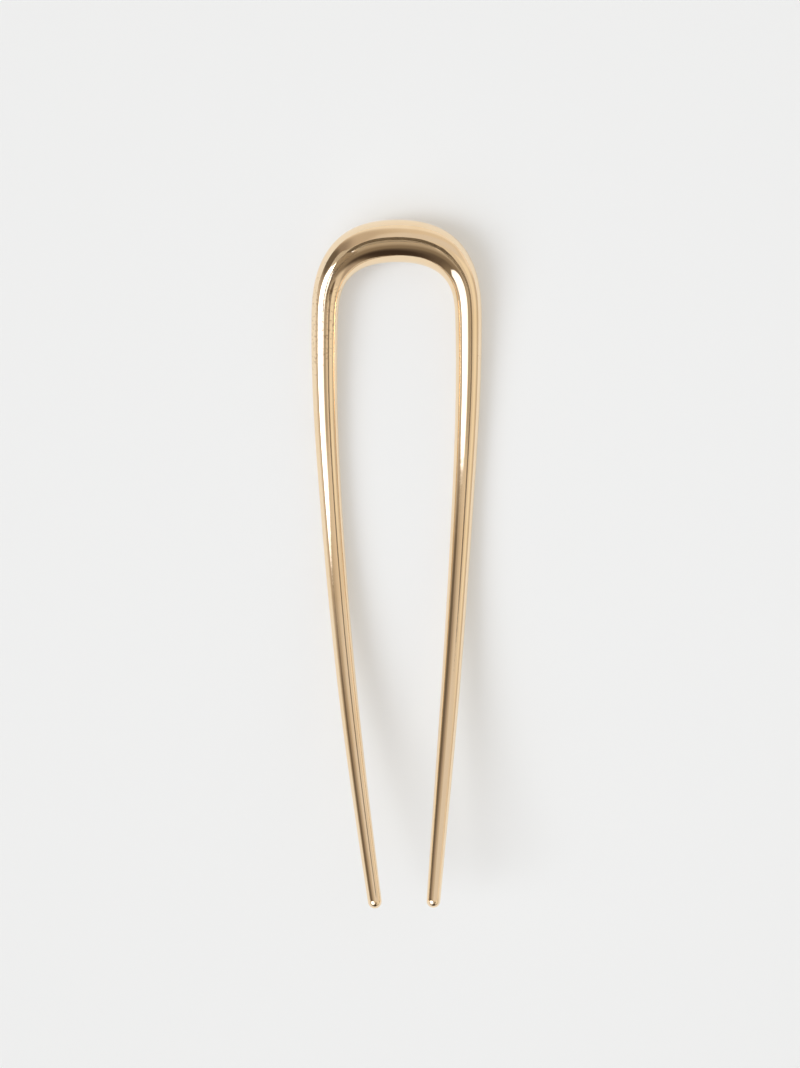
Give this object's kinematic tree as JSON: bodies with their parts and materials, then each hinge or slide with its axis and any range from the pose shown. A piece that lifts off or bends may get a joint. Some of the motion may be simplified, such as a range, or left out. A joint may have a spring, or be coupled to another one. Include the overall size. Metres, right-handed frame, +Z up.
{
  "type": "hairpin",
  "caption": "U-shaped metal hairpin with a thick rounded crown, tapered and slightly bowed prongs and domed tips, pushed into gathered hair to hold it up.",
  "frame": {"origin": "middle of the pin seen from above (half way between the prongs, half way from the crown's outer edge to the tips), on the table that it lies on", "axes": "+X across, from the left prong to the right one; +Y along the pin, from the tips to the crown; +Z up from the table, the side that the tips rise to"},
  "size_m": [0.0314, 0.125, 0.0172],
  "materials": {
    "gold_plate": "polished yellow gold plating on cast zinc alloy"
  },
  "bodies": {
    "root": {"pin_body": "gold_plate"}
  },
  "joints": []
}
